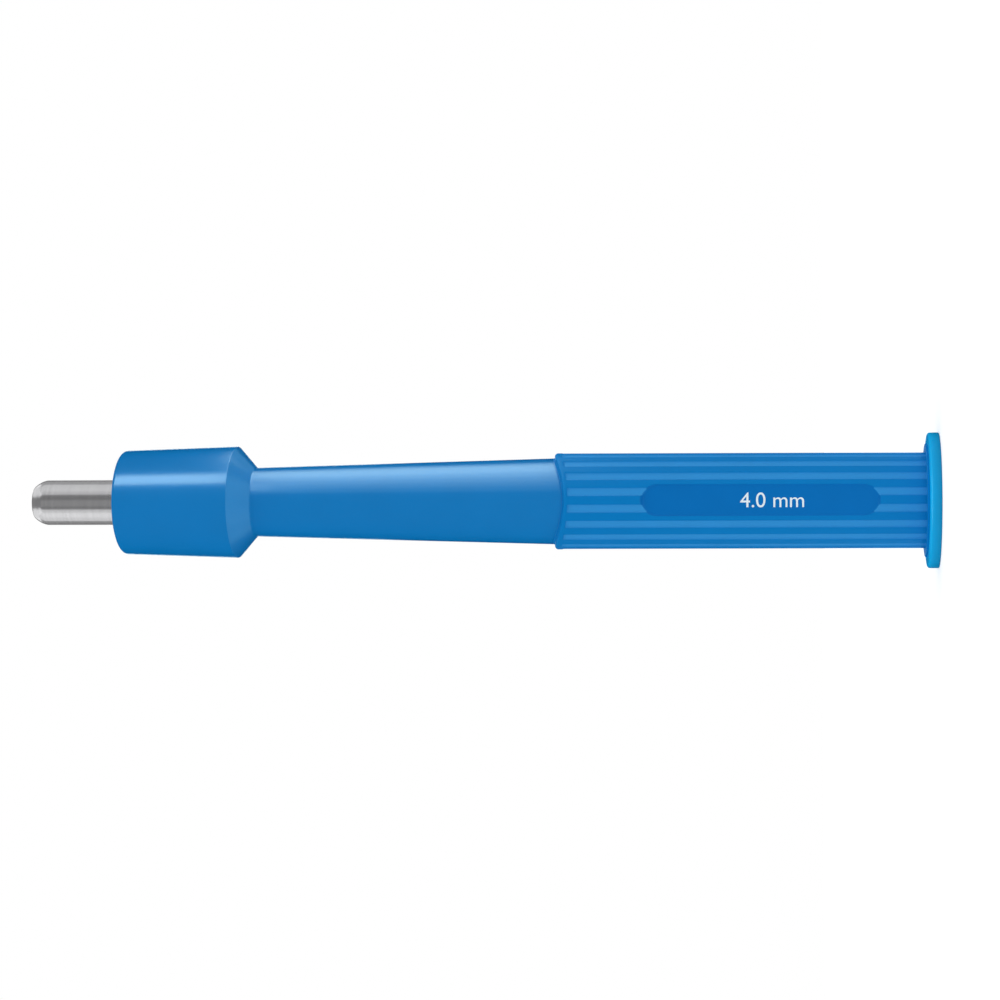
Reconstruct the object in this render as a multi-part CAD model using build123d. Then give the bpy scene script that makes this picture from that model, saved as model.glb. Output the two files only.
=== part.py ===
from build123d import *
import math
import os

# Skin biopsy punch, standing on its end disc. Lengths in mm, angles in degrees.
# +Z runs along the punch from the disc's rear face to the cutting edge, and the thumb pads face -Y and +Y.

# Whole punch
overall_length = 110.0          # rear face of the end disc to the cutting edge

# Cutting tube: stainless steel, ground on the outside to a circular edge
core_diameter = 4.0             # bore of the tube, the size that a punch is sold by
tube_diameter = 5.5
tube_exposed = 11.25            # what stands out of the head
bevel_length = 1.5
edge_land = 0.02                # width of the cutting edge itself
shoulder_width = 0.25           # step down to the shank, which seats on the head's front face
shoulder_chamfer = 0.08
shank_length = 10.0             # what is held in the head
shank_chamfer = 0.2
key_groove_width = 0.9          # grooves round the shank that the adhesive keys into
key_groove_depth = 0.15
key_groove_pitch = 3.2
key_groove_count = 2

# Head: the thick end that carries the tube
head_front_diameter = 12.7
head_rear_diameter = 13.6
head_length = 14.3
head_front_radius = 0.45
cone_length = 2.3
bond_gap = 0.02                 # adhesive film round the shank and under its end
socket_lead_in = 0.05
socket_floor = 2.0              # plastic between the socket and the core

# Neck: a plain taper from the cone to the grip
neck_front_diameter = 8.36
neck_rear_diameter = 10.3

# Grip
grip_front_diameter = 11.53
grip_rear_diameter = 11.34
grip_length = 43.75
collar_sweep = 1.75             # how far the collar's front edge falls back towards the two pad sides
collar_radius = 0.35

# Flutes of the grip: flat-bottomed grooves between plain lands
flute_count = 18
flute_width = 0.95
flute_depth = 0.22
flute_draft = 15.0              # lean of the flute's walls
flute_setback = 0.45            # plain rim between the collar's edge and the flutes

# Thumb pads: a flat-floored scoop on each of the two wide sides
pad_length = 28.0               # at the crown
pad_floor_width = 3.5
pad_depth = 0.45                # deeper than the flutes that run into it
pad_wall_run = 0.3              # how far the scoop's wall leans in between crown and floor
pad_middle = 21.2               # height of the pad's middle above the disc's rear face

# Rear flange of the handle, which seats on the end disc
flange_diameter = 13.4
flange_thickness = 0.33
flange_chamfer = 0.1

# Core of the moulding, open at the rear
grip_wall = 2.0
neck_wall = 1.75
core_end_chamfer = 0.8
core_end_gap = 0.35             # how much thinner the core is than the neck's wall asks at its closed end

# End disc
disc_diameter = 16.0
disc_thickness = 1.36
disc_edge_chamfer = 0.12
spigot_length = 6.0
spigot_wall = 1.1
spigot_gap = 0.03               # all round, in the handle's core
spigot_chamfer = 0.4
bead_height = 0.15              # snap bead round the spigot and its groove in the core
bead_width = 1.0
bead_crest = 0.3
bead_middle = 3.9               # above the disc's front face

overrun = 1.0                   # how far a cutter reaches past what it cuts

# Heights that the pieces share
handle_bottom = disc_thickness
grip_bottom = handle_bottom + flange_thickness
grip_top = grip_bottom + grip_length
head_top = overall_length - tube_exposed
head_bottom = head_top - head_length
neck_top = head_bottom - cone_length
shank_bottom = head_top - shank_length
socket_bottom = shank_bottom - bond_gap
core_top = socket_bottom - socket_floor
spigot_top = handle_bottom + spigot_length  # where the core's straight seat ends and its taper begins

# Radii that the pieces share
tube_radius = tube_diameter / 2
shank_radius = tube_radius - shoulder_width
core_radius_rear = grip_rear_diameter / 2 - grip_wall
edge_radius = core_diameter / 2 + edge_land
widest_radius = max(disc_diameter, head_rear_diameter, grip_front_diameter) / 2 + overrun


def outline(points):
    """A closed face in the XZ plane through points given as radius and height."""
    return make_face(Polyline(*points, close=True))


def rounded(face, radius, *corners):
    """The face with its corners nearest to the given points rounded over."""
    for corner in corners:
        vertex = face.vertices().sort_by_distance(corner)[0]
        face = fillet(vertex, radius)
    return face


def turned(face):
    """The solid that a face drawn as radius and height makes round the punch's axis."""
    return revolve(Plane.XZ * face, Axis.Z)


def grip_radius(height):
    """The crown's radius at a height on the grip."""
    share = (height - grip_bottom) / grip_length
    return grip_rear_diameter / 2 + share * (grip_front_diameter - grip_rear_diameter) / 2


def head_and_neck():
    """Head, cone and neck in one outline, down to the rear end of the grip."""
    front_corner = (head_front_diameter / 2, head_top)
    rear_corner = (head_rear_diameter / 2, head_bottom)
    neck_corner = (neck_front_diameter / 2, neck_top)
    root = neck_rear_diameter / 2
    face = outline([(0, head_top), front_corner, rear_corner, neck_corner, (root, grip_top),
                    (root, grip_bottom), (0, grip_bottom)])
    return turned(rounded(face, head_front_radius, front_corner))


def swept_block(top):
    """Everything below a front face that is level along X and falls back along Y in one arc."""
    reach = max(grip_front_diameter, grip_rear_diameter) / 2 + collar_radius
    shoulder = top - collar_sweep
    edge = ThreePointArc((-reach, shoulder), (0, top), (reach, shoulder))
    walls = Polyline((reach, shoulder), (reach, -overrun), (-reach, -overrun), (-reach, shoulder))
    return extrude(Plane.YZ * make_face([edge, *walls.edges()]), amount=widest_radius, both=True)


def grip_sleeve():
    """The grip's plain tapered body with its swept collar edge, rounded over."""
    face = outline([(0, grip_bottom), (grip_rear_diameter / 2, grip_bottom),
                    (grip_front_diameter / 2, grip_top), (0, grip_top)])
    sleeve = turned(face) & swept_block(grip_top)
    collar = sleeve.faces().sort_by(Axis.Z)[-1]
    return fillet(collar.edges(), collar_radius)


def flute():
    """One flute's cutter on the -Y side: a trapezium that opens outwards, run along the grip's taper."""
    slope = (grip_front_diameter - grip_rear_diameter) / 2 / grip_length
    lean = math.tan(math.radians(flute_draft))
    crown = grip_radius(-overrun)
    floor_half = flute_width / 2 - flute_depth * lean
    mouth_half = flute_width / 2 + overrun * lean
    floor = crown - flute_depth
    mouth = crown + overrun
    section = Polyline((-floor_half, -floor), (floor_half, -floor),
                       (mouth_half, -mouth), (-mouth_half, -mouth), close=True)
    along = Vector(0, -slope, 1)
    face = Plane.XY.offset(-overrun) * make_face(section)
    return extrude(face, amount=along.length * (grip_top + 2 * overrun), dir=along)


def flutes():
    """The cutters of all the flutes: open at the rear, and ending in line with the collar's swept edge."""
    stop = swept_block(grip_top - flute_setback)
    pitch = 360 / flute_count
    return [(Rot(0, 0, (number + 1 / 2) * pitch) * flute()) & stop for number in range(flute_count)]


def pad():
    """The tool that scoops one thumb pad on the -Y side: a stadium whose wall leans out from a flat floor."""
    crown = grip_radius(pad_middle)
    lean = math.degrees(math.atan(pad_wall_run / pad_depth))
    floor = Plane(origin=(0, pad_depth - crown, pad_middle), x_dir=(0, 0, 1), z_dir=(0, -1, 0))
    slot = SlotOverall(pad_length - 2 * pad_wall_run, pad_floor_width)
    return extrude(floor * slot, amount=pad_depth + overrun, taper=-lean)


def flange():
    """The thin plate that closes the grip's rear end and ends its flutes."""
    rim = flange_diameter / 2
    edge = min(flange_chamfer, flange_thickness / 2)
    return turned(outline([(0, handle_bottom), (rim, handle_bottom), (rim, grip_bottom - edge),
                           (rim - edge, grip_bottom), (0, grip_bottom)]))


def core():
    """The hollow of the moulding: open at the rear, tapered with the neck and round at its closed end."""
    tip = neck_front_diameter / 2 - neck_wall - core_end_gap
    chamfer = min(core_end_chamfer, tip / 2)
    return turned(outline([(0, handle_bottom - overrun), (core_radius_rear, handle_bottom - overrun),
                           (core_radius_rear, spigot_top), (neck_rear_diameter / 2 - neck_wall, grip_top),
                           (tip, core_top - chamfer), (tip - chamfer, core_top), (0, core_top)]))


def bead(clearance):
    """The ramped ring on the spigot, or the groove for it when made larger by a clearance."""
    root = core_radius_rear - spigot_gap
    inside = root - spigot_wall / 2
    crest = root + bead_height + clearance
    middle = handle_bottom + bead_middle
    half = bead_width / 2 + clearance
    crest_half = bead_crest / 2 + clearance
    return turned(outline([(inside, middle - half), (root, middle - half), (crest, middle - crest_half),
                           (crest, middle + crest_half), (root, middle + half), (inside, middle + half)]))


def socket():
    """The blind hole that the shank is bonded into, with a lead-in at its mouth."""
    radius = shank_radius + bond_gap
    mouth = radius + socket_lead_in
    return turned(outline([(0, socket_bottom), (radius, socket_bottom), (radius, head_top - socket_lead_in),
                           (mouth, head_top), (mouth, head_top + overrun), (0, head_top + overrun)]))


def handle():
    """The whole moulding: head, neck, fluted grip and rear flange, hollow from the rear."""
    body = head_and_neck() + grip_sleeve()
    body -= flutes()
    body -= [pad(), Rot(0, 0, 180) * pad()]
    body += flange()
    return body - core() - bead(spigot_gap) - socket()


def cutting_tube():
    """The steel tube: ground cutting edge in front, shoulder on the head's face, keyed shank behind."""
    wall = outline([(core_diameter / 2, shank_bottom), (shank_radius - shank_chamfer, shank_bottom),
                    (shank_radius, shank_bottom + shank_chamfer), (shank_radius, head_top),
                    (tube_radius - shoulder_chamfer, head_top), (tube_radius, head_top + shoulder_chamfer),
                    (tube_radius, overall_length - bevel_length), (edge_radius, overall_length),
                    (core_diameter / 2, overall_length)])
    middle = (shank_bottom + head_top) / 2
    first = middle - (key_groove_count - 1) * key_groove_pitch / 2
    for number in range(key_groove_count):
        groove = Pos(shank_radius, first + number * key_groove_pitch)
        wall -= groove * Rectangle(2 * key_groove_depth, key_groove_width)
    return turned(wall)


def end_disc():
    """The light-blue plate and its hollow spigot with the snap bead."""
    outside = core_radius_rear - spigot_gap
    inside = outside - spigot_wall
    end = spigot_top - spigot_gap
    rim = disc_diameter / 2
    edge = min(disc_edge_chamfer, disc_thickness / 3)
    face = outline([(0, 0), (rim - edge, 0), (rim, edge), (rim, disc_thickness - edge),
                    (rim - edge, disc_thickness), (outside, disc_thickness), (outside, end - spigot_chamfer),
                    (outside - spigot_chamfer, end), (inside, end), (inside, disc_thickness),
                    (0, disc_thickness)])
    return turned(face) + bead(0)


os.makedirs("parts", exist_ok=True)
pieces = {"handle": handle(), "cutting_tube": cutting_tube(), "end_disc": end_disc()}
for name, piece in pieces.items():
    export_step(piece, os.path.join("parts", name + ".step"))
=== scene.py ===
"""Skin biopsy punch, standing on its end disc: surfaces, finishes, lamps and camera round the
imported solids."""

import math
from types import SimpleNamespace

import bpy
import numpy as np
from bpy.props import (FloatProperty, FloatVectorProperty, IntProperty, PointerProperty,
                       StringProperty)
from mathutils import Matrix, Vector


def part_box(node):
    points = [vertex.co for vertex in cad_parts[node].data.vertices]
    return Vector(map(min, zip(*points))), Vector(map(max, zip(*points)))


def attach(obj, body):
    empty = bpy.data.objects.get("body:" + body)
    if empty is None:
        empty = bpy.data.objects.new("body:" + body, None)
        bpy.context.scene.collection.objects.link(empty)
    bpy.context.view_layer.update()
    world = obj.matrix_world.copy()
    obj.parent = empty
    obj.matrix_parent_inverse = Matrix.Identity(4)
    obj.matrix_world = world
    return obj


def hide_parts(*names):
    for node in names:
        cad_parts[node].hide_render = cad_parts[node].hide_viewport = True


bl_info = {
    "name": "Biopsy punch",
    "version": (1, 0, 0),
    "blender": (4, 5, 0),
    "location": "3D View > Sidebar > Punch",
    "description": "Builds a skin biopsy punch round its packed solids",
    "category": "Object",
}

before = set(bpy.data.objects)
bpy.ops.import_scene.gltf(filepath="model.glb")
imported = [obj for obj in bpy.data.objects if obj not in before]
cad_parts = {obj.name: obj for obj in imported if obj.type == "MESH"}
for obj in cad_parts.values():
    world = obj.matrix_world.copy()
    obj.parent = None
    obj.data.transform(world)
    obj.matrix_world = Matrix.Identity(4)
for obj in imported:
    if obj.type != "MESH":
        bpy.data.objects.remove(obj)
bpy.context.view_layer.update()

MM = 0.001

# Places that the pieces share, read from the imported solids.
HANDLE_LOW, HANDLE_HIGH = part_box("handle")
TUBE_LOW, TUBE_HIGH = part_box("cutting_tube")
DISC_LOW, DISC_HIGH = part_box("end_disc")


def linear(code):
    """An sRGB hex colour as the linear red, green, blue and alpha that Blender's shaders take."""
    shares = [int(code[place:place + 2], 16) / 255 for place in (1, 3, 5)]
    return [s / 12.92 if s <= 0.04045 else ((s + 0.055) / 1.055) ** 2.4 for s in shares] + [1.0]


def length(name, size, description):
    """A property for a size, given in millimetres and held in metres."""
    return FloatProperty(name=name, default=size * MM, description=description, unit="LENGTH",
                         precision=5)


def colour(name, code, description):
    """A property for a colour."""
    return FloatVectorProperty(name=name, default=linear(code), size=4, min=0, max=1,
                               subtype="COLOR", description=description)


class PunchHandleSizes(bpy.types.PropertyGroup):
    """Sizes of the moulded handle"""
    head_front_radius: length("Head, front radius", 6.35, "Radius of the head at its front face")
    head_rear_radius: length("Head, rear radius", 6.8, "Radius of the head where the cone begins")
    head_length: length("Head length", 14.3, "Length of the head without the cone")
    head_rounding: length("Head, front rounding", 0.45, "Rounding of the head's front edge")
    head_rear_rounding: length("Head, rear rounding", 0.08, "Rounding between head and cone")
    cone_length: length("Cone length", 2.3, "Length of the cone behind the head")
    neck_front_radius: length("Neck, front radius", 4.18, "Radius of the neck at the cone")
    neck_rear_radius: length("Neck, rear radius", 5.15, "Radius of the neck at the grip")
    neck_rounding: length("Neck rounding", 0.3, "Hollow rounding between cone and neck")
    grip_front_radius: length("Grip, front radius", 5.765, "Crown radius of the grip at the collar")
    grip_rear_radius: length("Grip, rear radius", 5.67, "Crown radius of the grip at the flange")
    grip_length: length("Grip length", 43.83, "Length of the grip")
    flange_radius: length("Flange radius", 6.7, "Radius of the rear flange that seats on the disc")
    flange_thickness: length("Flange thickness", 0.25, "Thickness of the rear flange")
    flange_rounding: length("Flange rounding", 0.1, "Rounding of the flange's front edge")
    collar_sweep: length("Collar sweep", 1.75, "How far the collar's edge falls back at the pads")
    collar_rounding: length("Collar rounding", 0.35, "Rounding of the collar's edge")
    collar_hollow: length("Collar hollow", 0.16, "Hollow rounding between collar and neck")
    flute_count: IntProperty(name="Flutes", default=18, min=3, description="Flutes round the grip")
    flute_width: length("Flute width", 0.89, "Width of a flute at half its depth")
    flute_depth: length("Flute depth", 0.22, "Depth of a flute")
    flute_wall: length("Flute wall", 0.26, "Width that a flute's soft wall takes up")
    flute_setback: length("Flute setback", 0.89, "Plain rim between collar and flutes at the sides")
    flute_run_out: length("Flute run-out", 0.25, "Length of the slope that ends a flute")
    flute_sweep: FloatProperty(name="Flute sweep", default=0.68, min=0, max=1, subtype="FACTOR",
                               description="Share of the collar's sweep in the flutes' ends")
    pad_middle: length("Pad middle", 20.85, "Height of the thumb pad's middle")
    pad_length: length("Pad length", 27.4, "Length of the pad's flat floor")
    pad_width: length("Pad width", 3.5, "Width of the pad's flat floor")
    pad_depth: length("Pad depth", 0.45, "Depth of the pad's floor below the crown")
    pad_wall: length("Pad wall", 0.3, "Width that the pad's leaning wall takes up")
    pad_hollow: length("Pad hollow", 0.05, "How softly the pad's floor turns into its wall")
    pad_rim: length("Pad rim", 0.08, "How softly the pad's wall meets the crown")
    neck_wall: length("Neck wall", 1.75, "Thickness of the neck's wall")
    core_radius: length("Core radius", 3.67, "Radius of the core at its open end")
    core_seat: length("Core seat", 6.0, "Length of the core's straight seat")
    core_end_gap: length("Core end gap", 2.0, "Plastic between the core and the tube's socket")
    core_end_chamfer: length("Core end chamfer", 0.8, "Chamfer at the core's closed end")
    core_tip_gap: length("Core tip gap", 0.35, "Extra plastic round the core's closed end")
    core_mouth_rounding: length("Core mouth rounding", 0.05, "Rounding of the core's open end")
    flange_seat_rounding: length("Flange seat rounding", 0.03, "Rounding of the flange's rear edge")
    bead_middle: length("Bead middle", 3.9, "Height of the snap bead above the disc's front face")
    bead_height: length("Bead height", 0.15, "Height of the snap bead")
    bead_width: length("Bead width", 1.0, "Width of the snap bead at its foot")
    bead_crest: length("Bead crest", 0.3, "Width of the snap bead's crest")
    bead_gap: length("Bead gap", 0.03, "How much wider the bead's groove is on each side")
    socket_lead_in: length("Socket lead-in", 0.05, "Chamfer at the socket's mouth")
    bond_gap: length("Bond gap", 0.02, "Adhesive film round the tube's shank")
    parting_height: length("Parting line height", 0.02, "Height of the mould's parting line")
    parting_width: length("Parting line width", 0.14, "Width of the mould's parting line")


class PunchTubeSizes(bpy.types.PropertyGroup):
    """Sizes of the cutting tube"""
    bore_radius: length("Bore radius", 2.0, "Radius of the tube's bore")
    edge_land: length("Edge land", 0.02, "Width of the cutting edge")
    bevel_length: length("Bevel length", 1.5, "Length of the ground bevel")
    bevel_crown: length("Bevel crown", 0.14, "How far the ground bevel bulges out")
    shank_radius: length("Shank radius", 2.5, "Radius of the shank in the head")
    shank_rounding: length("Shank rounding", 0.15, "Rounding of the shank's rear end")
    shoulder_rounding: length("Shoulder rounding", 0.06, "Rounding of the shoulder on the head")


class PunchDiscSizes(bpy.types.PropertyGroup):
    """Sizes of the end disc"""
    thickness: length("Thickness", 1.36, "Thickness of the disc")
    front_rounding: length("Front rounding", 0.32, "Rounding of the rim's front edge")
    rear_rounding: length("Rear rounding", 0.12, "Rounding of the rim's rear edge")
    spigot_radius: length("Spigot radius", 3.64, "Radius of the hidden spigot")
    spigot_wall: length("Spigot wall", 1.1, "Wall of the hidden spigot")
    spigot_chamfer: length("Spigot chamfer", 0.4, "Chamfer at the spigot's end")
    gate_radius: length("Gate radius", 1.1, "Radius of the dimple round the moulding gate")
    gate_floor_radius: length("Gate floor radius", 0.88, "Radius of the dimple's flat floor")
    gate_depth: length("Gate depth", 0.12, "Depth of the dimple round the moulding gate")
    gate_hollow: length("Gate hollow", 0.06, "Hollow rounding at the dimple's floor")
    gate_rounding: length("Gate rounding", 0.04, "Rounding of the dimple's edge")


class PunchMarkSizes(bpy.types.PropertyGroup):
    """Words and sizes of the print on the pad"""
    text: StringProperty(name="Text", default="4.0 mm",
                         description="The punch's size, printed on the pad")
    height: length("Letter height", 1.75, "Height of the figures")
    middle: length("Middle", 19.45, "Height of the print's middle above the disc's rear face")
    thickness: length("Ink thickness", 0.02, "Thickness of the ink")


class PunchFinishes(bpy.types.PropertyGroup):
    """Colours of the materials"""
    land_blue: colour("Land blue", "#0079C1", "Blue ABS of the handle")
    # The flutes' colour is painted sheen: paler than the lands, for the lighter look of matt flute
    # floors.
    flute_sheen_blue: colour("Matt blue", "#3696DA", "Blue ABS where spark erosion left the mould matt")
    # The pad floors' colour is painted shade: deeper than the lands, for the darker look of a
    # polished floor.
    pad_shade_blue: colour("Pad blue", "#006DB9", "Blue ABS on the pads' floors")
    disc_blue: colour("Disc blue", "#00AFEF", "Light-blue ABS of the end disc")
    steel: colour("Steel", "#DEDEE0", "Ground stainless steel")
    ink: colour("Ink", "#EAF6FC", "White printing ink")


class PunchStageSizes(bpy.types.PropertyGroup):
    """Sizes of the floor and the place of the camera"""
    floor_radius: length("Floor radius", 1500, "Radius of the floor")
    camera_distance: length("Camera distance", 282.3, "Camera's distance from the punch's axis")
    camera_height: length("Camera height", 15.88, "Camera's height above the floor")
    camera_side: length("Camera offset", 0.18, "Camera's offset along the picture's upright")
    camera_tilt: FloatProperty(name="Camera tilt", default=math.radians(7.324), subtype="ANGLE",
                               description="How far the camera looks up")
    camera_turn: FloatProperty(name="Camera turn", default=math.radians(-1.2), subtype="ANGLE",
                               description="Camera's angle round the punch from -Y towards +X")
    camera_roll: FloatProperty(name="Camera roll", default=math.radians(0.16), subtype="ANGLE",
                               description="How far the punch drops towards its tip in the picture")
    focal_length: FloatProperty(name="Focal length", default=84.834, subtype="DISTANCE_CAMERA",
                                description="Focal length on a 36 mm wide picture")


# Share of a flat end's radius at which its last ring of points lies before the fan to the pole.
RING_SHARE = 0.4
# The handle's rows are made in parts, which meet at these places.
CORE_MOUTH = 0.3 * MM       # above the seat: core and flange
NECK_END = 2 * MM           # below the cone: neck and head
FACE_RING = 3.2 * MM        # radius on the front face: head and socket
# Height below the front face at which its dull finish begins.
FACE_EDGE = 0.1 * MM
# Length of the grip and of the neck over which the rows bend into the collar's sweep.
SWEEP_RUN = 6 * MM
# Spacing of the handle's columns, in degrees: the closest that two may lie, and those beside a pad.
CLOSEST_COLUMNS = 0.13
PAD_SIDE_COLUMNS = (-0.3, 0.3, 0.6, 0.9)
# Cosine of the widest angle from a pad's middle that the pad reaches.
PAD_REACH = 0.8
# Depths of the scoop between which the pad's painted shade, a deeper colour, sets in.
PAD_SHALLOW, PAD_DEEP = 0.01 * MM, 0.06 * MM
# Polish of the grip, as a share of the head's, and the share of the flutes' floors that takes their
# paler colour, a painted sheen.
SATIN = 0.14
FLUTE_SHEEN = 0.8
# Roughness of the handle's plastic where it is unpolished and where it is polished.
DULL_ROUGHNESS, GLOSS_ROUGHNESS = 0.456, 0.2
# Shares of a flute's depth between which its paler colour, a painted sheen, sets in, and shares of
# the parting line's width between which its ridge falls away.
SHEEN_SHALLOW, SHEEN_DEEP = 0.02, 0.8
RIDGE_CREST, RIDGE_FOOT = 0.2, 0.7
# Painted shade on the disc's rim: how dark it is at its rear edge, and the height from which it has
# its full colour.
RIM_PAINTED_SHADE, RIM_CLEAR = 0.64, 1.3 * MM
# What the floor shows the camera beside the light that it takes, so that it looks white.
PAPER_LIFT = 0.28


def smooth(low, high, values):
    """0 below low, 1 above high and a smooth S between them."""
    share = np.clip((values - low) / (high - low), 0, 1)
    return share * share * (3 - 2 * share)


def soft_minimum(first, second, blend):
    """The smaller of two surfaces, with the crease between them rounded over the height blend."""
    overlap = np.clip(1 - np.abs(first - second) / blend, 0, 1)
    return np.minimum(first, second) - overlap * overlap * blend / 4


def rounded_outline(corners, segments=6):
    """Radius and height along a turned outline. Each corner is (radius, height, rounding), and a
    rounding replaces the corner with an arc that is tangent to both of its sides, with one point
    more on each side close to it."""
    points = []
    count = len(corners)
    for number, (radius, height, rounding) in enumerate(corners):
        here = np.array([radius, height])
        if not rounding or number in (0, count - 1):
            points.append(here[None])
            continue
        back = np.array(corners[number - 1][:2]) - here
        ahead = np.array(corners[number + 1][:2]) - here
        back /= np.linalg.norm(back)
        ahead /= np.linalg.norm(ahead)
        half = math.acos(np.clip(back @ ahead, -1, 1)) / 2
        reach = rounding / math.tan(half)
        middle = here + (back + ahead) / np.linalg.norm(back + ahead) * rounding / math.sin(half)
        start, end = here + back * reach, here + ahead * reach
        sweep = math.pi - 2 * half
        share = np.linspace(0, 1, segments + 1)[:, None]
        arc = middle + (np.sin((1 - share) * sweep) * (start - middle)
                        + np.sin(share * sweep) * (end - middle)) / math.sin(sweep)
        guard = min(rounding, reach) / 2
        points.append(np.vstack([start + back * guard, arc, end + ahead * guard]))
    return np.vstack(points)


def turned_surface(name, radius, height, angle, poles=None):
    """A closed surface from rows of points round the punch's axis. The point in row i and column j
    stands at radius[i, j] from the axis and at height[i, j], turned by angle[j] from -Y towards +X.
    The last column joins the first. Fans run from the first and the last row to two poles on the
    axis, at the heights given, or the last row joins the first where there are none."""
    rows, columns = radius.shape
    points = np.stack([radius * np.sin(angle), -radius * np.cos(angle), height], axis=-1)
    points = points.reshape(-1, 3)
    here = np.arange(columns)
    beside = (here + 1) % columns
    row = np.arange(rows - 1 if poles else rows)[:, None] * columns
    above = (row + columns) % (rows * columns)
    quads = np.stack([row + here, row + beside, above + beside, above + here], axis=-1)
    quads = quads.reshape(-1, 4)
    loops, sides = quads.ravel(), np.full(len(quads), 4)
    if poles:
        last = (rows - 1) * columns
        first_pole, last_pole = len(points), len(points) + 1
        first_fan = np.stack([np.full(columns, first_pole), beside, here], axis=-1)
        last_fan = np.stack([last + here, last + beside, np.full(columns, last_pole)], axis=-1)
        fans = np.vstack([first_fan, last_fan])
        points = np.vstack([points, [[0, 0, poles[0]], [0, 0, poles[1]]]])
        loops = np.concatenate([loops, fans.ravel()])
        sides = np.concatenate([sides, np.full(len(fans), 3)])
    mesh = bpy.data.meshes.new(name)
    mesh.vertices.add(len(points))
    mesh.vertices.foreach_set("co", points.astype(np.float32).ravel())
    mesh.loops.add(len(loops))
    mesh.loops.foreach_set("vertex_index", loops.astype(np.int32))
    mesh.polygons.add(len(sides))
    mesh.polygons.foreach_set("loop_start", (np.cumsum(sides) - sides).astype(np.int32))
    mesh.polygons.foreach_set("use_smooth", np.ones(len(sides), bool))
    mesh.update(calc_edges=True)
    mesh.validate()
    return mesh


def even_turned_surface(name, points, columns, poles=None):
    """A plain turned surface: the outline's points, each repeated at even steps round the axis."""
    angle = np.arange(columns) * 2 * math.pi / columns
    radius = np.repeat(points[:, :1], columns, axis=1)
    height = np.repeat(points[:, 1:], columns, axis=1)
    return turned_surface(name, radius, height, angle, poles)


def point_attribute(mesh, name, values):
    """Stores one number for each point of a turned surface's rows; the two poles get 0."""
    attribute = mesh.attributes.new(name, "FLOAT", "POINT")
    attribute.data.foreach_set("value", np.append(values.ravel(), [0, 0]).astype(np.float32))


def place(name, mesh, material, slot, node=None):
    """Puts a mesh into the scene as a piece with its material, in place of a CAD node if one is
    named.
    The slot is not used."""
    piece = bpy.data.objects.new(name, mesh)
    bpy.context.scene.collection.objects.link(piece)
    mesh.materials.append(material)
    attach(piece, "root")
    if node:
        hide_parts(node)


def add(tree, kind, sockets=(), **settings):
    """A new node: settings are its own properties, and sockets are its inputs by name or number,
    each with a value or with the output of another node."""
    made = tree.nodes.new(kind)
    for name, value in settings.items():
        setattr(made, name, value)
    for key, value in dict(sockets).items():
        if isinstance(value, bpy.types.NodeSocket):
            tree.links.new(value, made.inputs[key])
        else:
            made.inputs[key].default_value = value
    return made


def empty_tree(owner):
    """The node tree of a material, world or lamp, with nothing in it."""
    owner.use_nodes = True
    owner.node_tree.nodes.clear()
    return owner.node_tree


def per(size):
    """The scale that gives a noise texture on Object coordinates features of about this many mm."""
    return 1 / (size * MM)


# Values of a noise texture between which nearly all of it lies.
SHADE_LOW, SHADE_HIGH = 0.35, 0.65


def shaded(tree, colour, value, low, high):
    """A colour times a shade between low and high, which follows a texture's value."""
    shade = add(tree, "ShaderNodeMapRange", {"Value": value, "From Min": SHADE_LOW,
                                             "From Max": SHADE_HIGH, "To Min": low, "To Max": high})
    return add(tree, "ShaderNodeMix", {"Factor": 1.0, 6: colour, 7: shade.outputs["Result"]},
               data_type="RGBA", blend_type="MULTIPLY").outputs[2]


def moulded_abs(name, base, roughness, specular):
    """Injection-moulded ABS. The eye gets a soft, slightly milky gloss, faint flow clouds about 5
    mm across, and a fine grain 0.22 mm across and a micron or two deep that breaks up a highlight's
    edge. base, roughness and specular are functions that take the tree and give a socket or a
    value."""
    material = bpy.data.materials.new(name)
    tree = empty_tree(material)
    place_in = add(tree, "ShaderNodeTexCoord").outputs["Object"]
    clouds = add(tree, "ShaderNodeTexNoise", {"Vector": place_in, "Scale": per(5.0), "Detail": 2.0})
    grain = add(tree, "ShaderNodeTexNoise", {"Vector": place_in, "Scale": per(0.22), "Detail": 1.0})
    worn = add(tree, "ShaderNodeMath", {0: grain.outputs["Fac"], 1: 0.06, 2: roughness(tree)},
               operation="MULTIPLY_ADD")
    relief = add(tree, "ShaderNodeBump", {"Height": grain.outputs["Fac"], "Strength": 1.0,
                                          "Distance": 0.0015 * MM})
    shader = add(tree, "ShaderNodeBsdfPrincipled", {
        "Base Color": shaded(tree, base(tree), clouds.outputs["Fac"], 0.985, 1.015),
        "Roughness": worn.outputs["Value"], "IOR": 1.54, "Specular IOR Level": specular(tree),
        "Normal": relief.outputs["Normal"]})
    add(tree, "ShaderNodeOutputMaterial", {"Surface": shader.outputs["BSDF"]})
    return material


def handle_material(finishes):
    """Moulded blue ABS: glossy head and neck, satin grip and dull front face. The flutes' paler
    colour is a painted sheen, and the pad floors' deeper colour is painted shade. The mesh's
    polish, flute and pad attributes say where each lies."""
    def share(tree, name, low=0.0, high=1.0):
        value = add(tree, "ShaderNodeAttribute", attribute_name=name).outputs["Fac"]
        spread = add(tree, "ShaderNodeMapRange", {"Value": value, "To Min": low, "To Max": high})
        return spread.outputs["Result"]

    def mixed(tree, name, under, over):
        return add(tree, "ShaderNodeMix", {"Factor": share(tree, name), 6: under, 7: over},
                   data_type="RGBA").outputs[2]

    def base(tree):
        # The flutes get a paler colour, which is painted sheen; the pads get a deeper one, which is
        # painted shade.
        grip = mixed(tree, "matt_sheen", finishes.land_blue, finishes.flute_sheen_blue)
        return mixed(tree, "pad", grip, finishes.pad_shade_blue)

    def roughness(tree):
        return share(tree, "polish", DULL_ROUGHNESS, GLOSS_ROUGHNESS)

    def specular(tree):
        return share(tree, "polish", high=0.5)

    return moulded_abs("moulded_blue_abs", base, roughness, specular)


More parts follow.
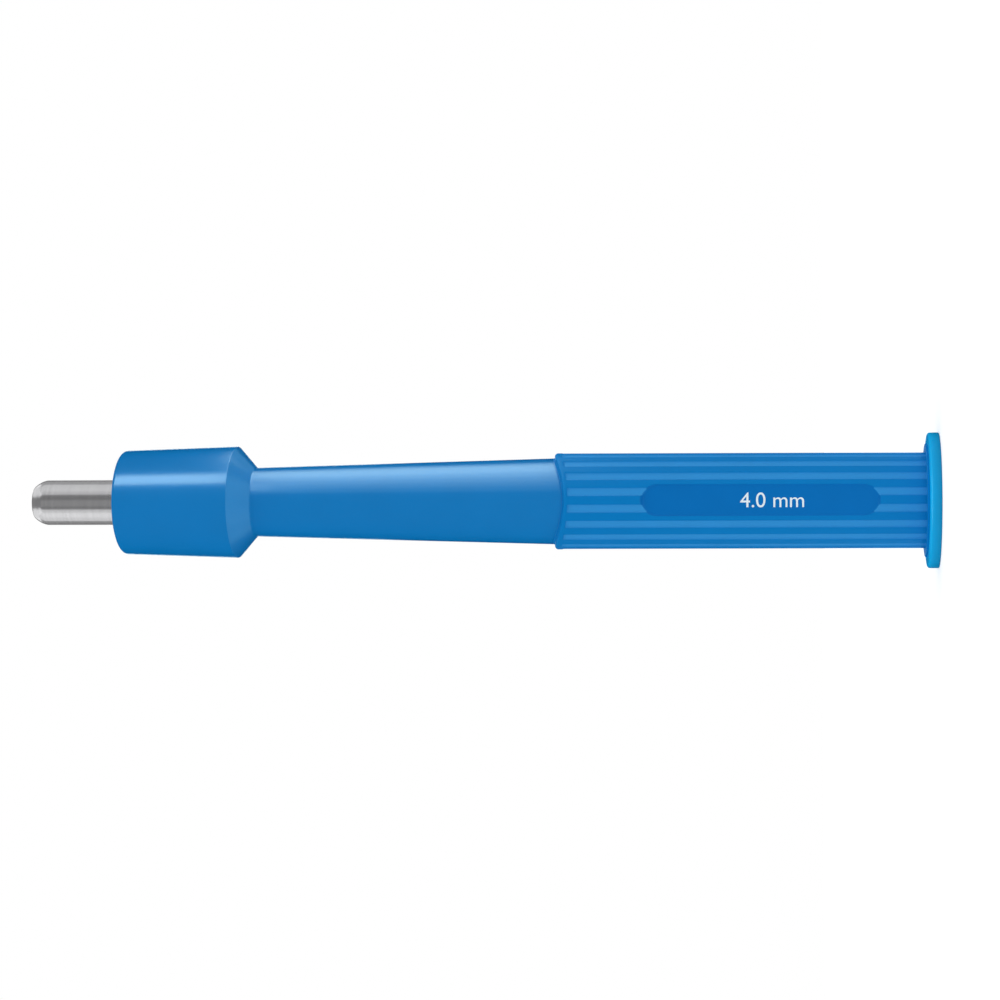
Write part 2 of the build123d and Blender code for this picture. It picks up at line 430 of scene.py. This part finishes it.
def disc_material(finishes):
    """Moulded light-blue ABS with the same soft gloss all over. Painted shade darkens the rim
    towards its rear edge."""
    def base(tree):
        place_in = add(tree, "ShaderNodeTexCoord").outputs["Object"]
        height = add(tree, "ShaderNodeSeparateXYZ", {"Vector": place_in}).outputs["Z"]
        # Painted shade: the rim's colour darkens towards the disc's rear face.
        along = add(tree, "ShaderNodeMapRange", {"Value": height, "From Max": RIM_CLEAR,
                                                 "To Min": SHADE_LOW, "To Max": SHADE_HIGH})
        return shaded(tree, finishes.disc_blue, along.outputs["Result"], RIM_PAINTED_SHADE, 1.0)

    def roughness(tree):
        return 0.27

    def specular(tree):
        return 0.25

    return moulded_abs("moulded_light_blue_abs", base, roughness, specular)


def steel_material(finishes):
    """Centreless-ground stainless steel tube. The grinding lines run round it, so reflections smear
    along the tube and keep their edges across it. The lines are 0.02 mm apart on the real tube, and
    are drawn 0.15 mm apart so that they show."""
    material = bpy.data.materials.new("ground_stainless_steel")
    tree = empty_tree(material)
    place_in = add(tree, "ShaderNodeTexCoord").outputs["Object"]
    stretched = add(tree, "ShaderNodeMapping", {
        "Vector": place_in, "Scale": (per(6.0), per(6.0), per(0.15))})
    lines = add(tree, "ShaderNodeTexNoise", {"Vector": stretched.outputs["Vector"], "Scale": 1.0,
                                             "Detail": 2.0})
    worn = add(tree, "ShaderNodeMath", {0: lines.outputs["Fac"], 1: 0.08, 2: 0.2},
               operation="MULTIPLY_ADD")
    relief = add(tree, "ShaderNodeBump", {"Height": lines.outputs["Fac"], "Strength": 1.0,
                                          "Distance": 0.001 * MM})
    around = add(tree, "ShaderNodeTangent", direction_type="RADIAL", axis="Z")
    shader = add(tree, "ShaderNodeBsdfPrincipled", {
        "Base Color": shaded(tree, finishes.steel, lines.outputs["Fac"], 0.96, 1.03),
        "Metallic": 1.0, "Roughness": worn.outputs["Value"], "Anisotropic": 0.5,
        "Anisotropic Rotation": 0.25, "Tangent": around.outputs["Tangent"],
        "Normal": relief.outputs["Normal"]})
    add(tree, "ShaderNodeOutputMaterial", {"Surface": shader.outputs["BSDF"]})
    return material


def ink_material(finishes):
    """White pad-printing ink: a thin matt film whose cover is slightly uneven."""
    material = bpy.data.materials.new("pad_printed_ink")
    tree = empty_tree(material)
    place_in = add(tree, "ShaderNodeTexCoord").outputs["Object"]
    cover = add(tree, "ShaderNodeTexNoise", {"Vector": place_in, "Scale": per(0.3), "Detail": 2.0})
    shader = add(tree, "ShaderNodeBsdfPrincipled", {
        "Base Color": shaded(tree, finishes.ink, cover.outputs["Fac"], 0.93, 1.0),
        "Roughness": 0.55, "IOR": 1.5, "Specular IOR Level": 0.3})
    add(tree, "ShaderNodeOutputMaterial", {"Surface": shader.outputs["BSDF"]})
    return material


def collar_drop(sizes, depth):
    """How far the collar's edge lies below its highest point at a distance depth from the X axis: a
    circular arc that has fallen by the whole sweep at the grip's reach."""
    reach = sizes.grip_front_radius + sizes.collar_rounding
    arc = (reach * reach + sizes.collar_sweep * sizes.collar_sweep) / (2 * sizes.collar_sweep)
    return arc - np.sqrt(arc * arc - depth * depth)


def flute_offset(sizes, angle):
    """The angle from the middle of the nearest flute; flutes lie half a pitch to each side of the
    pads' middle."""
    pitch = 2 * math.pi / sizes.flute_count
    return np.mod(angle, pitch) - pitch / 2


def handle_levels(sizes):
    """Heights at which the handle's forms meet, from the seat on the disc to the closed ends of
    core and socket."""
    seat, top = HANDLE_LOW.z, HANDLE_HIGH.z
    grip = seat + sizes.flange_thickness
    head = top - sizes.head_length
    socket = TUBE_LOW.z - sizes.bond_gap
    return SimpleNamespace(
        seat=seat, grip=grip, collar=grip + sizes.grip_length, neck=head - sizes.cone_length,
        head=head, top=top, socket=socket, core=socket - sizes.core_end_gap)


def pad_plane(sizes):
    """Distance of a pad's flat floor from the punch's axis."""
    share = (sizes.pad_middle - handle_levels(sizes).grip) / sizes.grip_length
    crown = sizes.grip_rear_radius + share * (sizes.grip_front_radius - sizes.grip_rear_radius)
    return crown - sizes.pad_depth


def handle_angles(sizes):
    """Column angles: close together on the flutes' walls, over both pads and at the mould's parting
    line."""
    pitch = 2 * math.pi / sizes.flute_count
    arc = sizes.grip_rear_radius
    wall = (np.linspace(-0.75, 0.75, 8) * sizes.flute_wall + sizes.flute_width / 2) / arc
    on_floor, on_land = 0.17 * pitch / 2, 0.82 * pitch / 2
    half = np.concatenate([[0, on_floor], wall, [on_land, pitch / 2]])
    middles = (np.arange(sizes.flute_count) + 0.5) * pitch
    ordinary = (middles[:, None] + np.concatenate([-half, half])).ravel()
    edge = math.atan(sizes.pad_width / 2 / (sizes.grip_rear_radius - sizes.pad_depth))
    outside = edge + np.radians(PAD_SIDE_COLUMNS)
    over_pad = np.concatenate([np.linspace(-edge, edge, 50), outside, -outside])
    line = sizes.parting_width / arc * np.linspace(-1, 1, 7)
    angles = np.concatenate([ordinary, over_pad, over_pad + math.pi, line + math.pi / 2,
                             line - math.pi / 2])
    angles = np.sort(np.mod(angles, 2 * math.pi))
    step = np.diff(angles, append=angles[0] + 2 * math.pi)
    return angles[step > math.radians(CLOSEST_COLUMNS)]


def rows(points, sweep=0.0, flute=0.0, slope=0.0, polish=SATIN, line=0.0):
    """Rows of the handle's outline. Each has a radius, a height, its share of the collar's sweep,
    its share of the flutes, the slope of its radius, its polish, and its share of the mould's
    parting line."""
    points = np.atleast_2d(points)
    return np.column_stack([points, *(np.broadcast_to(value, len(points))
                                      for value in (sweep, flute, slope, polish, line))])


def core_rows(sizes, at):
    """The hollow core, from its closed end down to the snap bead's groove and the open end at the
    disc."""
    tip = sizes.neck_front_radius - sizes.neck_wall - sizes.core_tip_gap
    chamfer, radius = sizes.core_end_chamfer, sizes.core_radius
    groove, bead = radius + sizes.bead_height, at.seat + sizes.bead_middle
    foot, crest = sizes.bead_width / 2 + sizes.bead_gap, sizes.bead_crest / 2 + sizes.bead_gap
    return rows([
        (RING_SHARE * tip, at.core), (tip - chamfer, at.core), (tip, at.core - chamfer),
        (sizes.neck_rear_radius - sizes.neck_wall, at.collar), (radius, at.seat + sizes.core_seat),
        (radius, bead + foot), (groove, bead + crest), (groove, bead - crest),
        (radius, bead - foot), (radius, at.seat + CORE_MOUTH)])


def flange_rows(sizes, at):
    """The thin rear flange that seats on the disc, and its front face up to the grip's foot."""
    foot, close = sizes.grip_rear_radius, 0.04 * MM
    flange = rounded_outline([
        (sizes.core_radius, at.seat + CORE_MOUTH, 0.0),
        (sizes.core_radius, at.seat, sizes.core_mouth_rounding),
        (sizes.flange_radius, at.seat, sizes.flange_seat_rounding),
        (sizes.flange_radius, at.grip, sizes.flange_rounding),
        (foot + 5 * close, at.grip, 0.0)])[1:]
    crease = [(foot + close, at.grip), (foot, at.grip), (foot, at.grip + close)]
    return np.vstack([rows(flange, line=1.0), rows(crease, flute=1.0, line=1.0)])


def grip_rows(sizes, at):
    """The fluted grip, with its rows close together at both ends of the pads and where the flutes
    end."""
    slope = (sizes.grip_front_radius - sizes.grip_rear_radius) / sizes.grip_length
    low, high = sizes.pad_middle - sizes.pad_length / 2, sizes.pad_middle + sizes.pad_length / 2
    bow, guard, fine = sizes.pad_width / 2, 0.6 * MM, 0.11 * MM
    flute_end = at.collar - sizes.flute_setback
    near_foot = np.array([0.16, 0.5, 1.6, 3.0, 4.4]) * MM
    near_end = np.append(np.linspace(-0.96, 0.32, 9), 1.6) * sizes.flute_run_out
    heights = np.concatenate([
        at.grip + near_foot,
        np.arange(low - guard, low + bow + guard, fine),
        np.linspace(low + bow + 2 * guard, high - bow - 2 * guard, 12),
        np.arange(high - bow - guard, high + guard, fine),
        np.linspace(high + 2 * guard, flute_end - 2 * sizes.flute_run_out, 9),
        flute_end + near_end])
    radius = sizes.grip_rear_radius + (heights - at.grip) * slope
    rim = np.clip((heights - flute_end) / (sizes.flute_setback - sizes.collar_rounding), 0, 1)
    sweep = sizes.flute_sweep * smooth(flute_end - SWEEP_RUN, flute_end, heights)
    run_out = flute_end + np.array([-0.8, 0.2]) * sizes.flute_run_out
    return rows(np.column_stack([radius, heights]), sweep + (1 - sizes.flute_sweep) * rim,
                1 - smooth(*run_out, heights), slope, line=1.0)


def neck_rows(sizes, at):
    """The collar's rounded edge, its step down to the neck, and the neck's plain taper."""
    turn = np.linspace(0, math.pi / 2, 8)
    edge, root = sizes.collar_rounding, sizes.neck_rear_radius
    rim = sizes.grip_front_radius - edge
    collar = np.column_stack([rim + edge * np.cos(turn), at.collar - edge + edge * np.sin(turn)])
    hollow = sizes.collar_hollow
    foot = np.column_stack([root + hollow - hollow * np.sin(turn),
                            at.collar + hollow - hollow * np.cos(turn)])
    slope = (sizes.neck_front_radius - root) / (at.neck - at.collar)
    near_collar = np.array([0.25, 0.4, 0.9, 1.6, 2.5, 3.5, 4.6, 6.0]) * MM
    heights = np.concatenate([at.collar + near_collar,
                              np.linspace(at.collar + 1.5 * SWEEP_RUN, at.neck - NECK_END, 8)])
    neck = np.column_stack([root + (heights - at.collar) * slope, heights])
    sweep = 1 - smooth(at.collar, at.collar + SWEEP_RUN, heights)
    return np.vstack([rows(collar, 1.0, line=1.0), rows(foot, 1.0, line=1.0),
                      rows(neck, sweep, slope=slope, polish=1.0, line=1.0)])


def head_rows(sizes, at):
    """The hollow rounding at the neck's front end, the cone, the head and its front face, which the
    mould leaves dull."""
    outline = rounded_outline([
        (sizes.neck_front_radius, at.neck - NECK_END, 0.0),
        (sizes.neck_front_radius, at.neck, sizes.neck_rounding),
        (sizes.head_rear_radius, at.head, sizes.head_rear_rounding),
        (sizes.head_front_radius, at.top, sizes.head_rounding), (FACE_RING, at.top, 0.0)])[1:]
    dull = smooth(at.top - FACE_EDGE, at.top, outline[:, 1])
    return rows(outline, polish=1 - dull, line=1.0)


def socket_rows(sizes, at):
    """The blind socket that the tube's shank is bonded into."""
    radius = bpy.context.scene.punch_tube.shank_radius + sizes.bond_gap
    lead = sizes.socket_lead_in
    return rows([(radius + 3 * lead, at.top), (radius + lead, at.top), (radius, at.top - lead),
                 (radius, at.top - 8 * lead), (radius, at.socket), (radius / 2, at.socket)])


def pad_distance(sizes, across, height):
    """Distance outside the pad floor's outline, which is a rectangle with a half circle at each
    end."""
    half = sizes.pad_length / 2 - sizes.pad_width / 2
    beyond = np.maximum(np.abs(height - sizes.pad_middle) - half, 0)
    return np.hypot(across, beyond) - sizes.pad_width / 2


def handle_surface(sizes):
    """The handle as one closed surface. Its radius is the turned outline's; the flutes take from it
    a trapezium with soft walls and a flat floor, each pad a plane that rises in a leaning wall
    outside the floor's outline, and the parting line adds a low ridge. Heights fall by the collar's
    sweep."""
    angle = handle_angles(sizes)
    at = handle_levels(sizes)
    parts = (core_rows, flange_rows, grip_rows, neck_rows, head_rows, socket_rows)
    table = np.vstack([part(sizes, at) for part in parts])
    nominal, level, sweep, fluting, slope, polish, line = [column[:, None] for column in table.T]
    facing = np.abs(np.cos(angle))
    height = level - sweep * collar_drop(sizes, sizes.grip_front_radius * facing)
    radius = nominal + slope * (height - level)

    offset = np.abs(flute_offset(sizes, angle))
    arc = offset * sizes.grip_rear_radius
    floor_edge = (sizes.flute_width - sizes.flute_wall) / 2
    groove = 1 - smooth(floor_edge, floor_edge + sizes.flute_wall, arc)
    floor = (radius - sizes.flute_depth) / np.cos(offset)
    fluted = radius + (floor - radius) * groove * fluting

    plane = pad_plane(sizes)
    away = pad_distance(sizes, plane * np.tan(angle), height)
    beyond = (away + np.hypot(away, sizes.pad_hollow)) / 2
    rise = beyond * sizes.pad_depth / sizes.pad_wall
    on_grip = (fluting > 0) & (facing > PAD_REACH)
    pad = (plane + rise) / np.where(on_grip, facing, 1)
    scooped = np.where(on_grip, soft_minimum(fluted, pad, sizes.pad_rim), fluted)
    from_line = facing * radius / sizes.parting_width
    ridge = line * (1 - smooth(RIDGE_CREST, RIDGE_FOOT, from_line)) * sizes.parting_height

    mesh = turned_surface("handle_skin", scooped + ridge, height, angle, (at.core, at.socket))
    # Mask of the pads, which carries their painted shade.
    in_pad = np.where(on_grip, smooth(PAD_SHALLOW, PAD_DEEP, fluted - scooped), 0)
    # Mask of the flutes' painted sheen: it makes their colour paler and leaves their roughness as
    # it is.
    matt_sheen = FLUTE_SHEEN * smooth(SHEEN_SHALLOW, SHEEN_DEEP, groove * fluting) * (1 - in_pad)
    point_attribute(mesh, "matt_sheen", matt_sheen)
    point_attribute(mesh, "pad", in_pad)
    point_attribute(mesh, "polish", np.broadcast_to(polish, radius.shape))
    return mesh


class PUNCH_OT_handle(bpy.types.Operator):
    """Add the moulded handle in place of its CAD solid"""
    bl_idname = "punch.handle"
    bl_label = "Handle"

    def execute(self, context):
        scene = context.scene
        place("moulded_handle", handle_surface(scene.punch_handle),
              handle_material(scene.punch_finishes), "handle_blue", "handle")
        return {"FINISHED"}


class PUNCH_OT_cutting_tube(bpy.types.Operator):
    """Add the ground steel tube in place of its CAD solid"""
    bl_idname = "punch.cutting_tube"
    bl_label = "Cutting tube"

    def execute(self, context):
        sizes = context.scene.punch_tube
        outer, bore, shank = TUBE_HIGH.x, sizes.bore_radius, sizes.shank_radius
        tip, rear, seat = TUBE_HIGH.z, TUBE_LOW.z, HANDLE_HIGH.z
        bevel, edge = tip - sizes.bevel_length, bore + sizes.edge_land
        close, closer = 0.3 * MM, 0.2 * MM
        share = np.linspace(0, 1, 12)
        crown = 4 * share * (1 - share) * sizes.bevel_crown
        ground = np.column_stack([outer + (edge - outer) * share + crown,
                                  bevel + sizes.bevel_length * share])
        body = rounded_outline([
            (bore, rear, 0.0), (shank, rear, sizes.shank_rounding), (shank, seat, 0.0),
            (outer, seat, sizes.shoulder_rounding), (outer, bevel, 0.0)])
        inside = [(bore, tip), (bore, tip - closer), (bore, bevel), (bore, rear + close)]
        outline = np.vstack([body[:-1], [(outer, bevel - close)], ground, inside])
        mesh = even_turned_surface("cutting_tube_skin", outline, columns=192)
        place("ground_cutting_tube", mesh, steel_material(context.scene.punch_finishes),
              "ground_steel", "cutting_tube")
        return {"FINISHED"}


class PUNCH_OT_end_disc(bpy.types.Operator):
    """Add the light-blue end disc in place of its CAD solid"""
    bl_idname = "punch.end_disc"
    bl_label = "End disc"

    def execute(self, context):
        sizes, handle = context.scene.punch_disc, context.scene.punch_handle
        rim, front, top = DISC_HIGH.x, sizes.thickness, DISC_HIGH.z
        spigot, inside = sizes.spigot_radius, sizes.spigot_radius - sizes.spigot_wall
        bead, crest = front + handle.bead_middle, spigot + handle.bead_height
        half_foot, half_crest = handle.bead_width / 2, handle.bead_crest / 2
        gate, dimple, chamfer = sizes.gate_radius, sizes.gate_depth, sizes.spigot_chamfer
        points = rounded_outline([
            (RING_SHARE * gate, dimple, 0.0), (sizes.gate_floor_radius, dimple, sizes.gate_hollow),
            (gate, 0.0, sizes.gate_rounding), (rim, 0.0, sizes.rear_rounding),
            (rim, front, sizes.front_rounding), (spigot, front, 0.0),
            (spigot, bead - half_foot, 0.0), (crest, bead - half_crest, 0.0),
            (crest, bead + half_crest, 0.0), (spigot, bead + half_foot, 0.0),
            (spigot, top - chamfer, 0.0), (spigot - chamfer, top, 0.0), (inside, top, 0.0),
            (inside, front, 0.0), (RING_SHARE * inside, front, 0.0)])
        mesh = even_turned_surface("end_disc_skin", points, columns=256, poles=(dimple, front))
        place("moulded_end_disc", mesh, disc_material(context.scene.punch_finishes),
              "disc_blue", "end_disc")
        return {"FINISHED"}


class PUNCH_OT_size_mark(bpy.types.Operator):
    """Print the punch's size on the front pad"""
    bl_idname = "punch.size_mark"
    bl_label = "Size mark"

    def execute(self, context):
        scene = context.scene
        sizes, handle = scene.punch_mark, scene.punch_handle
        curve = bpy.data.curves.new("size_mark_text", "FONT")
        curve.body = sizes.text
        curve.align_x, curve.align_y = "CENTER", "CENTER"
        curve.extrude = 0.5  # any depth: the faces are put at the ink's own heights below
        curve.resolution_u = 6
        source = bpy.data.objects.new("size_mark_source", curve)
        scene.collection.objects.link(source)
        context.view_layer.update()
        evaluated = source.evaluated_get(context.evaluated_depsgraph_get())
        mesh = bpy.data.meshes.new_from_object(evaluated)
        bpy.data.objects.remove(source)
        points = np.empty(len(mesh.vertices) * 3, np.float32)
        mesh.vertices.foreach_get("co", points)
        along, up, depth = points.reshape(-1, 3).astype(float).T
        scale = sizes.height / (up.max() - up.min())
        along = (along - (along.max() + along.min()) / 2) * scale
        up = (up - (up.max() + up.min()) / 2) * scale
        out = pad_plane(handle) + np.where(depth > 0, sizes.thickness, -sizes.thickness / 2)
        placed = np.column_stack([up, -out, sizes.middle - along])
        mesh.vertices.foreach_set("co", placed.astype(np.float32).ravel())
        mesh.update()
        place("printed_size_mark", mesh, ink_material(scene.punch_finishes), "handle_blue")
        return {"FINISHED"}


def stage_camera(sizes):
    """The camera of the photograph: the punch lies along the picture, so the camera's up is +X."""
    tilt, roll = sizes.camera_tilt, sizes.camera_roll
    ahead = Vector((0, math.cos(tilt), math.sin(tilt)))
    right = Vector((0, math.sin(tilt), -math.cos(tilt)))
    up = Vector((1, 0, 0))
    axes = (right * math.cos(roll) - up * math.sin(roll),
            right * math.sin(roll) + up * math.cos(roll), -ahead)
    turn = Matrix.Rotation(sizes.camera_turn, 4, "Z")
    spot = Matrix.Translation((sizes.camera_side, -sizes.camera_distance, sizes.camera_height))
    lens = bpy.data.cameras.new("camera")
    lens.lens = sizes.focal_length
    lens.clip_start = 0.01
    camera = bpy.data.objects.new("camera", lens)
    camera.matrix_world = turn @ spot @ Matrix(axes).transposed().to_4x4()
    bpy.context.scene.collection.objects.link(camera)
    bpy.context.scene.camera = camera


HANDLE = ("moulded_handle", "printed_size_mark")
DISC = ("moulded_end_disc",)
STEEL = ("ground_cutting_tube",)
NEAR, FAR, ROOM = 45, 300, 2500
COOL = (0.71, 1.0, 1.0)
DEEP = (0.37, 0.86, 1.0)
NEUTRAL = (1.0, 1.0, 1.0)

# Upright soft lamps round the punch: name, the two azimuths in degrees between which the lamp
# stands, from -Y towards +X, its distance from the axis and its lowest and highest point in mm, the
# brightness of its face, its colour, and the pieces whose gloss it is seen in, or None for a wall
# of the white room that lights matt surfaces. The neck's lamps make one panel that grows brighter
# away from the camera, and stand so near that the head doesn't mirror them. The steel's make a ring
# that is dark in front and bright at both sides.
LAMPS = (
    ("front_wall", -45, 45, ROOM, 0, ROOM, 1.0, NEUTRAL, None),
    ("right_wall", 45, 135, ROOM, 0, ROOM, 1.0, NEUTRAL, None),
    ("back_wall", 135, 225, ROOM, 0, ROOM, 1.0, NEUTRAL, None),
    ("left_wall", 225, 315, ROOM, 0, ROOM, 1.0, NEUTRAL, None),
    ("head_lamp", 36, 57, NEAR, 95, 135, 8.2, COOL, HANDLE),
    ("neck_lamp_1", 27, 41, NEAR, 48, 95.5, 0.8, COOL, HANDLE),
    ("neck_lamp_2", 41, 54, NEAR, 48, 95.5, 1.9, COOL, HANDLE),
    ("neck_lamp_3", 54, 67, NEAR, 48, 95.5, 3.2, COOL, HANDLE),
    ("neck_lamp_4", 67, 81, NEAR, 48, 95.5, 4.5, COOL, HANDLE),
    ("neck_lamp_5", 81, 96, NEAR, 48, 95.5, 5.6, COOL, HANDLE),
    ("neck_lamp_6", 96, 110, NEAR, 48, 95.5, 4.5, COOL, HANDLE),
    ("neck_lamp_7", 110, 121, NEAR, 48, 95.5, 2.0, COOL, HANDLE),
    ("back_lamp", 165, 195, FAR, 120, 240, 2.5, COOL, HANDLE),
    ("disc_lamp", -50, 50, FAR, 150, 380, 5.0, COOL, DISC),
    ("steel_lamp_1", 40, 58, FAR, 60, 380, 0.62, NEUTRAL, STEEL),
    ("steel_lamp_2", 58, 82, FAR, 60, 380, 0.74, NEUTRAL, STEEL),
    ("steel_lamp_3", 82, 106, FAR, 60, 380, 0.71, NEUTRAL, STEEL),
    ("steel_lamp_4", 106, 145, FAR, 60, 380, 0.4, NEUTRAL, STEEL),
    ("steel_lamp_5", -55, -37, FAR, 60, 380, 0.71, NEUTRAL, STEEL),
    ("steel_lamp_6", -85, -55, FAR, 60, 380, 0.93, NEUTRAL, STEEL),
    ("steel_lamp_7", -112, -85, FAR, 60, 380, 0.8, NEUTRAL, STEEL),
    ("steel_lamp_8", -145, -112, FAR, 60, 380, 0.31, NEUTRAL, STEEL),
    ("steel_lamp_9", -37, -22, FAR, 60, 380, 0.21, NEUTRAL, STEEL),
    ("steel_lamp_10", -22, 12, FAR, 60, 380, 0.31, NEUTRAL, STEEL),
    ("steel_lamp_11", 12, 40, FAR, 60, 380, 0.21, NEUTRAL, STEEL),
    ("steel_lamp_12", 150, 210, FAR, 60, 380, 0.3, NEUTRAL, STEEL),
)

# Level soft lamps that face the punch: name, the two X and the two Y coordinates in mm between
# which the lamp lies, its height, the brightness of its face, its colour and the pieces, as above.
# The white room's ceiling comes first, the roof lamps hang over the tip, where the ground bevel
# mirrors them, and the cone mirrors the last three.
LEVEL_LAMPS = (
    ("ceiling", -ROOM, ROOM, -ROOM, ROOM, ROOM, 1.0, NEUTRAL, None),
    ("roof_lamp_1", -290, -135, -250, -60, 380, 0.85, NEUTRAL, STEEL),
    ("roof_lamp_2", -135, 130, -295, -60, 380, 0.24, NEUTRAL, STEEL),
    ("roof_lamp_3", 130, 290, -250, -60, 380, 0.8, NEUTRAL, STEEL),
    ("roof_lamp_4", -290, -85, -60, 330, 380, 0.92, NEUTRAL, STEEL),
    ("roof_lamp_5", -85, 80, -60, 330, 380, 0.26, NEUTRAL, STEEL),
    ("roof_lamp_6", 80, 290, -60, 330, 380, 0.85, NEUTRAL, STEEL),
    ("cone_lamp_1", -80, -45, -90, 200, 2, 1.3, DEEP, HANDLE),
    ("cone_lamp_2", -45, 50, -90, 200, 2, 1.85, DEEP, HANDLE),
    ("cone_lamp_3", 50, 200, -90, 250, 2, 0.7, DEEP, HANDLE),
)


def softbox(name, spot, target, wide, tall, level, tint, takers):
    """A rectangular soft lamp at a spot that faces a target. Its level is the brightness of its
    face. Where pieces are named, only they see it, and only in their gloss; otherwise it lights
    every matt surface and no gloss."""
    light = bpy.data.lights.new(name, "AREA")
    light.shape = "RECTANGLE"
    light.size, light.size_y = wide, tall
    light.energy = level * math.pi * wide * tall
    light.color = tint
    lamp = bpy.data.objects.new(name, light)
    bpy.context.scene.collection.objects.link(lamp)
    facing = (spot - target).to_track_quat("Z", "Y").to_matrix().to_4x4()
    lamp.matrix_world = Matrix.Translation(spot) @ facing
    lamp.visible_camera = False
    lamp.visible_diffuse, lamp.visible_glossy = not takers, bool(takers)
    if takers:
        group = bpy.data.collections.new(name + "_takers")
        for taker in takers:
            group.objects.link(bpy.data.objects[taker])
        lamp.light_linking.receiver_collection = group


def studio_lamps():
    """The upright lamps and the level ones."""
    for name, start, end, distance, low, high, level, tint, takers in LAMPS:
        azimuth, half_spread = math.radians((start + end) / 2), math.radians((end - start) / 2)
        spot = Vector((math.sin(azimuth) * distance, -math.cos(azimuth) * distance,
                       (low + high) / 2)) * MM
        wide, tall = 2 * distance * MM * math.tan(half_spread), (high - low) * MM
        softbox(name, spot, Vector((0, 0, spot.z)), wide, tall, level, tint, takers)
    for name, left, right, front, back, height, level, tint, takers in LEVEL_LAMPS:
        spot = Vector(((left + right) / 2, (front + back) / 2, height)) * MM
        towards = Vector((0, 0, math.copysign(1, HANDLE_HIGH.z / 2 - spot.z)))
        wide, deep = (right - left) * MM, (back - front) * MM
        softbox(name, spot, spot + towards, wide, deep, level, tint, takers)


def studio_world():
    """White to the camera only: the lamps give all the light."""
    world = bpy.data.worlds.new("studio")
    bpy.context.scene.world = world
    tree = empty_tree(world)
    path = add(tree, "ShaderNodeLightPath")
    light = add(tree, "ShaderNodeBackground", {"Color": (1, 1, 1, 1),
                                               "Strength": path.outputs["Is Camera Ray"]})
    add(tree, "ShaderNodeOutputWorld", {"Surface": light.outputs["Background"]})


def floor_material():
    """White paper sweep: it takes the punch's soft shadow and looks white to the camera
    elsewhere."""
    material = bpy.data.materials.new("white_paper")
    tree = empty_tree(material)
    path = add(tree, "ShaderNodeLightPath")
    paper = add(tree, "ShaderNodeBsdfDiffuse", {"Color": (0.85, 0.85, 0.85, 1)})
    lift = add(tree, "ShaderNodeMath", {0: path.outputs["Is Camera Ray"], 1: PAPER_LIFT},
               operation="MULTIPLY")
    glow = add(tree, "ShaderNodeEmission", {"Color": (1, 1, 1, 1),
                                            "Strength": lift.outputs["Value"]})
    both = add(tree, "ShaderNodeAddShader", {0: paper.outputs["BSDF"], 1: glow.outputs["Emission"]})
    add(tree, "ShaderNodeOutputMaterial", {"Surface": both.outputs["Shader"]})
    return material


class PUNCH_OT_stage(bpy.types.Operator):
    """Add the floor, the studio light and the photograph's camera"""
    bl_idname = "punch.stage"
    bl_label = "Stage"

    def execute(self, context):
        scene = context.scene
        sizes = scene.punch_stage
        scene.view_settings.view_transform = "Standard"
        corners = 64
        angle = np.arange(corners) * 2 * math.pi / corners
        floor = bpy.data.meshes.new("floor")
        points = np.column_stack([np.cos(angle), np.sin(angle), 0 * angle]) * sizes.floor_radius
        floor.from_pydata(points.tolist(), [], [list(range(corners))])
        floor.materials.append(floor_material())
        sheet = bpy.data.objects.new("floor", floor)
        scene.collection.objects.link(sheet)
        sheet.visible_glossy = False
        studio_world()
        studio_lamps()
        stage_camera(sizes)
        return {"FINISHED"}


class PUNCH_PT_panel(bpy.types.Panel):
    """The punch's pieces and their sizes"""
    bl_idname = "PUNCH_PT_panel"
    bl_label = "Biopsy punch"
    bl_space_type = "VIEW_3D"
    bl_region_type = "UI"
    bl_category = "Punch"

    def draw(self, context):
        for group, operators in PANEL_ROWS:
            box = self.layout.box()
            for operator in operators:
                box.operator(operator.bl_idname)
            settings = getattr(context.scene, group)
            for name in settings.__annotations__:
                box.prop(settings, name)


GROUPS = {
    "punch_handle": PunchHandleSizes,
    "punch_tube": PunchTubeSizes,
    "punch_disc": PunchDiscSizes,
    "punch_mark": PunchMarkSizes,
    "punch_finishes": PunchFinishes,
    "punch_stage": PunchStageSizes,
}
PANEL_ROWS = (
    ("punch_handle", (PUNCH_OT_handle,)),
    ("punch_tube", (PUNCH_OT_cutting_tube,)),
    ("punch_disc", (PUNCH_OT_end_disc,)),
    ("punch_mark", (PUNCH_OT_size_mark,)),
    ("punch_finishes", ()),
    ("punch_stage", (PUNCH_OT_stage,)),
)
CLASSES = (*GROUPS.values(), PUNCH_OT_handle, PUNCH_OT_cutting_tube, PUNCH_OT_end_disc,
           PUNCH_OT_size_mark, PUNCH_OT_stage, PUNCH_PT_panel)


def register():
    """Adds the add-on's classes and gives the scene their settings."""
    for made in CLASSES:
        bpy.utils.register_class(made)
    for name, group in GROUPS.items():
        setattr(bpy.types.Scene, name, PointerProperty(type=group))


def unregister():
    """Takes the settings and the classes away again."""
    for name in GROUPS:
        delattr(bpy.types.Scene, name)
    for made in reversed(CLASSES):
        bpy.utils.unregister_class(made)


def main():
    """Builds the whole punch and its stage."""
    register()
    bpy.ops.punch.handle()
    bpy.ops.punch.cutting_tube()
    bpy.ops.punch.end_disc()
    bpy.ops.punch.size_mark()
    bpy.ops.punch.stage()


if __name__ == "__main__":
    main()
